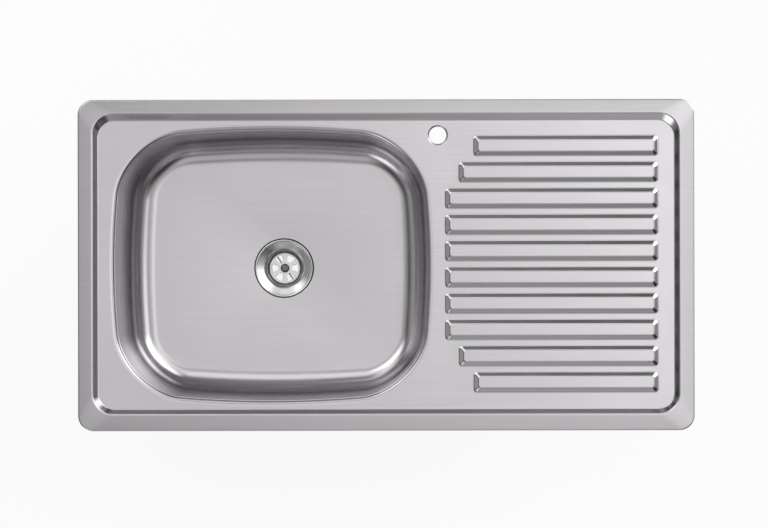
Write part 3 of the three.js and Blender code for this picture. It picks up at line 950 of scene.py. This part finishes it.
def wasteFlange():
    rim, well, grid = waste["rim"], waste["well"], waste["grid"]
    top, crest = rim["top"], rim["crest"]
    profile = [(rim["outer"] - 0.05, rim["foot"])]
    profile += bent((rim["outer"], rim["foot"] + 0.6), (rim["outer"], crest), (top, crest), 5)
    profile += bent((top - 0.3, crest - 0.02), (top - 0.9, crest - 0.1), (dish["outer"], dish["top"]), 4)
    slope = [(radius, heightOn(dish, radius)) for radius in (*waste["dishRows"], waste["throat"])]
    profile += slope[:2]
    profile += bent(slope[2], slope[3], well[0], 7)
    profile += well[1:3]
    profile += bent(well[3], (waste["wellFoot"], grid), (waste["gridRadius"], grid), 8)
    bm = spun(profile, waste["steps"])
    for i in range(waste["holes"]):
        joinTo(bm, gridHole(), turned(360 * i / waste["holes"]))
    flat = circleLoop(bm, (0, 0), waste["boltHole"], grid, 32)
    flat += [e for e in bm.edges if e.is_boundary and all(abs(vert.co.z - grid) < 0.001 for vert in e.verts)]
    bmesh.ops.triangle_fill(bm, edges=flat, use_beauty=True)
    faceTowards(bm, up)
    for face in bm.faces:  # the well's wall takes the grey steel: painted shade, darker than the polished flange
        x, y, z = face.calc_center_median()
        if math.hypot(x, y) > waste["gridRadius"] and grid < z < well[0][1]:
            face.material_index = 1
    bmesh.ops.translate(bm, verts=bm.verts, vec=(*wasteCentre, 0))
    return bm


flangePiece = addPiece(
    "wasteFlange", wasteFlange(), polished, "sink", ["waste_flange"], thickness=sheet
)
# second slot: grey steel, painted shade for the well's wall
flangePiece.data.materials.append(greyShadeSteel)


# A full ring of a closed profile, with its sharp edges taken off when a softening is given
def ringPiece(name, profile, steps, material, body, node, soften=0.0):
    bm = spun(profile, steps, closed=True)
    if soften:
        softenEdges(bm, soften)
    addPiece(name, bm, material, body, [node], moved(*wasteCentre))


def gaskets():
    outer, inner = 38.5, 30
    corners = ((outer, 0.3), (outer, 1.2), (inner, 1.2), (inner, 0.3))
    profile = [(radius, heightOn(seat, radius) + lift) for radius, lift in corners]
    ringPiece("wasteTopGasket", profile, 72, rubber, "sink", "waste_top_gasket", 0.25)
    outer, inner = 42, 29
    foot = heightsOf("waste_lower_gasket")[0]
    groove = [(outer, -161), (41.2, -160.2), (41.2, -159.4), (outer, -158.6)]
    profile = [(outer, foot), *groove]
    profile += [(radius, heightOn(seat, radius) - 1.1) for radius in (outer, inner)]
    profile += [(inner, foot)]
    ringPiece("wasteLowerGasket", profile, 72, rubber, "sink", "waste_lower_gasket", 0.3)


gaskets()

tail = {
    "low": heightsOf("waste_body")[0],
    "high": -203,
    "radius": 23.9,
    "bore": 20,
    "pitch": 2.31,
    "depth": 1.3,
    "threadRows": 84,
}
cup = {
    "top": heightsOf("waste_body")[1],
    "flange": 43,
    "outer": 33,
    "inner": 29.5,
    "webs": 12,
    "webThickness": 1.6,
    "barTurn": 125,
    "bar": (5, 20.6, -0.7, 0.7, -206, -190),
    "boss": [(4.65, -206), (7.2, -206), (7.5, -205.5), (7.5, -188.5), (7.2, -188), (4.65, -188)],
}


# Threaded tail, cup and flange in one moulding, stiffened by webs, with a bar and boss across the bore
def wasteBody():
    low, high, radius, bore = tail["low"], tail["high"], tail["radius"], tail["bore"]
    top, outer, inner, flange = cup["top"], cup["outer"], cup["inner"], cup["flange"]
    profile = shankRows([(bore + 0.4, low), (radius - 1.4, low)], radius, low + 1, high, tail["threadRows"])
    profile += [(radius + 0.7, high + 1.5), (radius + 0.7, high + 3.5)]
    profile += bent((25.2, -198.6), (outer - 0.4, -193.5), (outer, -190), 5)
    profile += [(outer, top - 6.2)]
    profile += bent((outer + 0.1, top - 5.6), (outer + 0.4, top - 4.2), (outer + 3, top - 3.6), 4)
    profile += [(flange - 0.6, top - 3.5), (flange, top - 3), (flange, top - 0.5), (flange - 0.5, top)]
    profile += [(inner + 0.5, top), (inner, top - 0.5), (inner, -187.5)]
    profile += bent((inner - 0.2, -189), (inner - 1, -190.5), (bore + 0.6, -195.6), 4)
    profile += [(bore, -197), (bore, low + 0.4)]
    bm = spun(profile, 96, closed=True)
    cutThread(bm, low + 0.9, high, tail["pitch"], tail["depth"], radius - 0.6)
    web = [(32.6, -192.5), (33.6, -191.8), (35.2, -176), (40.6, top - 3.4), (32.6, top - 3.4)]
    for i in range(cup["webs"]):  # webs under the flange, stood up from the plane they are drawn in
        stand = turned(360 * (i + 0.5) / cup["webs"]) @ turned(90, "X") @ moved(z=cup["webThickness"] / 2)
        joinTo(bm, plate(web, cup["webThickness"], soften=0.25), stand)
    moulded = len(bm.faces)
    for i in range(2):  # the bar's two arms, which take the near-black steel as painted shade under the grid
        joinTo(bm, cuboid(*cup["bar"], 0.25), turned(cup["barTurn"] + 180 * i))
    bm.faces.ensure_lookup_table()
    for face in bm.faces[moulded:]:
        face.material_index = 1
    joinTo(bm, spun(cup["boss"], 40, closed=True))
    return bm


bodyPiece = addPiece(
    "wasteBody", wasteBody(), plastic, "sink", ["waste_body"], moved(*wasteCentre)
)
# second slot: near-black steel, painted shade for the bar
bodyPiece.data.materials.append(dark)


def insertAndWasher():
    low, high = heightsOf("waste_insert")
    waist = [(4.6, -200), (4.2, -199.6), (4.2, -194), (4.6, -193.6)]
    profile = [(4.6, low), *waist, (4.6, high), (3.3, high), (3.3, low)]
    ringPiece("wasteInsert", profile, 32, brass, "sink", "waste_insert")
    low, high = heightsOf("waste_washer")
    profile = [(7, low), (7, high), (3.4, high), (3.4, low)]
    ringPiece("wasteWasher", profile, 48, polished, "washer", "waste_washer", 0.2)


insertAndWasher()


# Cuts a straight slot across a round head: lays two lines on each side and lowers what is between
def cutSlot(bm, halfWidth, floor, angle):
    across = turned(angle) @ Vector((0, 1, 0))
    for side in (-1, 1):
        for distance in (halfWidth, halfWidth + 0.04):
            cutEdges(bm, across * side * distance, across)
    for vert in bm.verts:
        if abs(vert.co.dot(across)) < halfWidth + 0.001 and vert.co.z > floor:
            vert.co.z = floor


def wasteScrew():
    low, high = heightsOf("waste_screw")
    under = high - 3.5
    head = [(3, under), (5.7, under), (6, under + 0.3), (6, under + 0.9)]
    head += bent((5.95, under + 1.2), (5.5, under + 2.7), (4.1, under + 3.2), 5)
    head += [(3.3, under + 3.35), (1.6, under + 3.5), (0, under + 3.5)]
    shank = shankRows([(0, low), (2.3, low), (2.9, low + 0.7)], 3, low + 1, under - 0.4, 96)
    bm = spun(shank + head, 40)
    cutThread(bm, low + 0.9, under - 2, 1.0, 0.5, 2.5)
    cutSlot(bm, 0.8, under + 2.0, 40)
    return bm


# The screw takes the near-black steel: painted shade on its head and slot
addPiece(
    "wasteScrew", wasteScrew(), dark, "centre_screw", ["waste_screw"], moved(*wasteCentre)
)
print("waste made")


# Pad and seals

def soundPad():
    x, y, _ = middleOf("sound_pad")
    size = {"length": 84, "width": 120, "thickness": 2.5, "corner": 8, "fall": 2, "level": -153.9}
    a, b = size["length"] / 2, size["width"] / 2
    bm = plate(rectangle(-a, a, -b, b), size["thickness"], 0, size["corner"], 0.5)
    tilt = Matrix.Rotation(math.atan(size["fall"] / size["length"]), 4, "Y")
    bmesh.ops.transform(bm, matrix=moved(x, y, size["level"]) @ tilt, verts=bm.verts)
    return bm


addPiece("soundPad", soundPad(), padding, "sink", ["sound_pad"])

for side in ("Front", "Rear", "Left", "Right"):
    node = "seal_strip_" + side.lower()
    addPiece("sealStrip" + side, cuboid(*rangesOf(node), 0.7, 3), foam, "sink", [node])


# Fixing strips and clips

sideTurn = {"Front": 180, "Rear": 0, "Left": 90, "Right": -90}
wallDistance = {"Front": 199.8, "Rear": 199.8, "Left": 384.8, "Right": 384.8}


# In a side's own frame x runs along it and y outwards from the bracket plates
def sideMatrix(side, along=0.0):
    return turned(sideTurn[side]) @ moved(along, wallDistance[side])


def fixingStrip(half, windows, pitch):
    bm = bmesh.new()
    leg = {"face": 3.2, "foot": -17, "bend": 1.6, "top": 2.6, "back": -1.9, "window": (6, 3), "middle": -9}
    # the leg is drawn lying down, with its height along Y, and stood up at the end
    topHeight = leg["top"] - leg["bend"]
    loops = list(roundedLoop(bm, (-half, half, leg["foot"], topHeight), 1.5, 0, 3))
    w, h = leg["window"]
    for i in range(windows):
        x = (i - (windows - 1) / 2) * pitch
        loops += roundedLoop(bm, (x - w, x + w, leg["middle"] - h, leg["middle"] + h), 0.8, 0, 3)
    bmesh.ops.triangle_fill(bm, edges=loops, use_beauty=True)
    bmesh.ops.transform(bm, matrix=moved(y=leg["face"]) @ turned(90, "X"), verts=bm.verts)
    bm.edges.ensure_lookup_table()
    top = max(bm.edges, key=lambda e: (min(v.co.z for v in e.verts) > topHeight - 0.01, e.calc_length()))
    inside = leg["face"] - leg["bend"]
    made = bmesh.ops.spin(
        bm, geom=[top, *top.verts], cent=(0, inside, topHeight), axis=(1, 0, 0),
        angle=math.radians(90), steps=5, use_merge=False, use_normal_flip=False, use_duplicate=False,
    )["geom_last"]
    made = bmesh.ops.extrude_edge_only(bm, edges=ofKind(made, bmesh.types.BMEdge))["geom"]
    bmesh.ops.translate(bm, verts=ofKind(made, bmesh.types.BMVert), vec=(0, leg["back"] - inside, 0))
    faceTowards(bm, Vector((0, 1, 1)))
    return bm


stripThickness = 1.2
for side in sideTurn:
    bm = fixingStrip(330, 5, 140) if side in ("Front", "Rear") else fixingStrip(130, 3, 80)
    node = "fixing_strip_" + side.lower()
    place = sideMatrix(side)
    addPiece("fixingStrip" + side, bm, zinc, "sink", [node], place, stripThickness)


clip = {
    "screwAxis": -9.8,
    "sheet": 1.5,
    "half": 12,
    "top": -5,
    "foot": -52,
    "slotHalf": 4,
    "slotTop": -30,
    "ear": (8, -16, -24.5),  # half its width, how far it reaches in, and its top
    "hook": (4, 1.2, -11.7),  # half its width, its sheet and its foot
    "gusset": (5, 1.2, 6),  # its leg, its sheet and its distance from the middle
    "clawSheet": 2,
    "clawTop": -48,
    "toothPitch": 4,
    "pitch": 0.8,
}


def clipBracket():
    bm = bmesh.new()
    a, b, top, foot, slotTop = [clip[name] for name in ("half", "slotHalf", "top", "foot", "slotTop")]
    fork = [(-a, top), (-a, foot), (-b, foot), (-b, slotTop), (b, slotTop), (b, foot), (a, foot), (a, top)]
    joinTo(bm, plate(fork, clip["sheet"], soften=0.3), turned(90, "X"))  # drawn lying down
    half, sheet, foot = clip["hook"]
    joinTo(bm, cuboid(-half, half, 1, 4.6, foot, foot + 1.5, 0.25))
    joinTo(bm, cuboid(-half, half, 4.6 - sheet, 4.6, foot, -3.5, 0.25))
    half, reach, top = clip["ear"]
    joinTo(bm, plate(rectangle(-half, half, reach, 1), clip["sheet"], top, 2.5, 0.3))
    leg, sheet, distance = clip["gusset"]
    for side in (-1, 1):  # between the plate and the ear, on top of it
        stand = moved(side * distance, 0.2, top - 0.1) @ turned(90, "Z") @ turned(90, "X")
        joinTo(bm, plate([(0, 0), (-leg, 0), (0, leg)], sheet, sheet / 2), stand)
    collar = [(4.5, -29.7), (4.2, -30), (3.1, -30), (2.75, -29.6), (2.75, -24.9)]
    collar += [(3.1, -24.45), (4.5, -24.45)]
    joinTo(bm, spun(collar, 32, closed=True), moved(y=clip["screwAxis"]))
    return bm


def clipClaw():
    bm = bmesh.new()
    sheet, top, pitch = clip["clawSheet"], clip["clawTop"], clip["toothPitch"]
    joinTo(bm, plate(rectangle(-8, 8, -16, -0.6), sheet, top, 2, 0.35))
    joinTo(bm, cuboid(-3.4, 3.4, -1.2, 3, top - sheet, top, 0.3))
    joinTo(bm, plate(rectangle(-8, 8, 2.2, 12.6), sheet, top, 1, 0.35))
    teeth = [(-8, -50), (8, -50), (8, -42)]
    for x in (pitch, 0, -pitch):
        teeth += [(x + 1.6, -42), (x, -43.6), (x - 1.6, -42)]
    teeth += [(-8, -42)]
    joinTo(bm, plate(teeth, 1.8, soften=0.2), moved(y=11.4) @ turned(90, "X"))
    return bm


def clipScrew():
    under, tip = 50.3, 22  # drawn head up, and turned over at the end
    head = [(4.2, under), (4.4, under + 0.2), (4.4, under + 2.1), (4.3, under + 2.5), (3.6, under + 3.4)]
    head += [(3.0, under + 3.6), (0, under + 3.6)]
    shank = shankRows([(0, tip), (1.9, tip)], 2.5, tip + 1, under, 140)
    bm = spun(shank + head, 24)
    cutThread(bm, tip, under - 1, clip["pitch"], 0.42, 1.8)
    cutSlot(bm, 0.6, under + 2.0, 0)
    bmesh.ops.transform(bm, matrix=moved(y=clip["screwAxis"]) @ turned(180, "X"), verts=bm.verts)
    return bm


places = [
    ("Front", 280), ("Front", 0), ("Front", -280), ("Right", 0),
    ("Rear", 280), ("Rear", 0), ("Rear", -280), ("Left", 0),
]
for number, (side, along) in enumerate(places, 1):
    place = sideMatrix(side, along)
    for kind, build, body in (
        ("Bracket", clipBracket, "sink"),
        ("Claw", clipClaw, f"claw_{number}"),
        ("Screw", clipScrew, f"screw_{number}"),
    ):
        node = f"clip_{kind.lower()}_{number}"
        addPiece(f"clip{kind}{number}", build(), zinc, body, [node], place)
print("clips made:", len(places))


# Floor and light

def addFloor():
    bm = bmesh.new()
    bmesh.ops.create_circle(bm, cap_ends=True, radius=40, segments=64)
    bmesh.ops.translate(bm, verts=bm.verts, vec=(0, 0, cadBounds[0][2] - 0.0005))
    mesh = bpy.data.meshes.new("floor")
    bm.to_mesh(mesh)
    bm.free()
    floor = bpy.data.objects.new("floor", mesh)
    scene.collection.objects.link(floor)
    look = {"Base_Color": (0.9, 0.9, 0.9, 1), "Roughness": 0.9, "Specular_IOR_Level": 0.0}
    material, tree, shader = newMaterial("pale floor", **look)
    white = addNode(tree, "Emission", {"Color": (1, 1, 1, 1), "Strength": 1.0}).outputs[0]
    path = addNode(tree, "LightPath").outputs
    seen = mathNode(tree, "MAXIMUM", path["Is Camera Ray"], path["Is Glossy Ray"])
    seen = mathNode(tree, "MAXIMUM", seen, path["Is Transmission Ray"])
    share = mathNode(tree, "MULTIPLY", seen, 0.9)
    lit = addNode(tree, "MixShader", {0: share, 1: shader.outputs[0], 2: white}).outputs[0]
    clear = addNode(tree, "BsdfTransparent").outputs[0]
    behind = addNode(tree, "NewGeometry").outputs["Backfacing"]
    shown = addNode(tree, "MixShader", {0: behind, 1: lit, 2: clear}).outputs[0]
    tree.links.new(shown, tree.nodes["Material Output"].inputs["Surface"])
    mesh.materials.append(material)
    if mesh.polygons[0].normal.z < 0:
        mesh.flip_normals()


# A round soft source in the sky: full in the middle, fading to 0 at its edge
def softLight():
    tree, given, wanted = newGroup(
        "soft light",
        [
            ("Direction", "Vector", None), ("Middle", "Vector", None),
            ("Edge", "Float", 0.0), ("Strength", "Float", 1.0),
        ],
        [("Light", "Float")],
    )
    near = vectorNode(tree, "DOT_PRODUCT", given["Direction"], given["Middle"])["Value"]
    light = ranged(tree, near, given["Edge"], 1.0, 0.0, given["Strength"], smooth=True)
    tree.links.new(light, wanted["Light"])
    return tree


skyDim = 0.02
lights = {
    # each light's angle from overhead, its azimuth from +X towards +Y, its half width and its strength
    "overhead": [
        (0, 0, 18, 0.8), (17, 0, 18, 0.75), (17, 60, 18, 0.6), (17, 180, 18, 0.4), (17, 300, 18, 0.25),
    ],
    "right": [(35, 45, 20, 1.2), (50, 12, 16, 2), (50, 40, 20, 0.8), (60, 60, 16, 2.5), (66, 33, 22, 4)],
    "rear": [(40, 93, 20, 1.3), (35, 135, 20, 2.5), (62, 125, 20, 1.4), (75, 95, 18, 0.5)],
    "left": [(60, 180, 20, 0.4)],
    "front": [(36, 272, 21, 0.75), (68, 240, 22, 2.4), (75, 272, 22, 0.6)],
    # weak light for the sides that the others leave dark
    "fill": [
        (30, 317, 14, 0.4), (40, 345, 18, 0.5), (72, 350, 22, 0.35), (60, 208, 25, 0.3), (70, 157, 20, 0.3),
    ],
}


# The sky holds the lights, and is white where the camera looks straight at it
def lightRoom():
    world = bpy.data.worlds.new("studio")
    scene.world = world
    world.use_nodes = True
    tree = world.node_tree
    direction = addNode(tree, "TexCoord").outputs["Generated"]
    group = softLight()
    total = skyDim
    for side in lights.values():
        for tilt, azimuth, half, strength in side:
            t, a, edge = math.radians(tilt), math.radians(azimuth), math.cos(math.radians(half))
            middle = (math.sin(t) * math.cos(a), math.sin(t) * math.sin(a), math.cos(t))
            light = useGroup(tree, group, Direction=direction, Middle=middle, Edge=edge, Strength=strength)
            total = mathNode(tree, "ADD", total, light["Light"])
    seen = addNode(tree, "LightPath").outputs["Is Camera Ray"]
    shown = addNode(tree, "Mix", {0: seen, 2: total, 3: 1.0}, data_type="FLOAT").outputs[0]
    background = tree.nodes["Background"]
    tree.links.new(shown, background.inputs["Strength"])
    background.inputs["Color"].default_value = (1, 1, 1, 1)


addFloor()
lightRoom()
print("stage set")
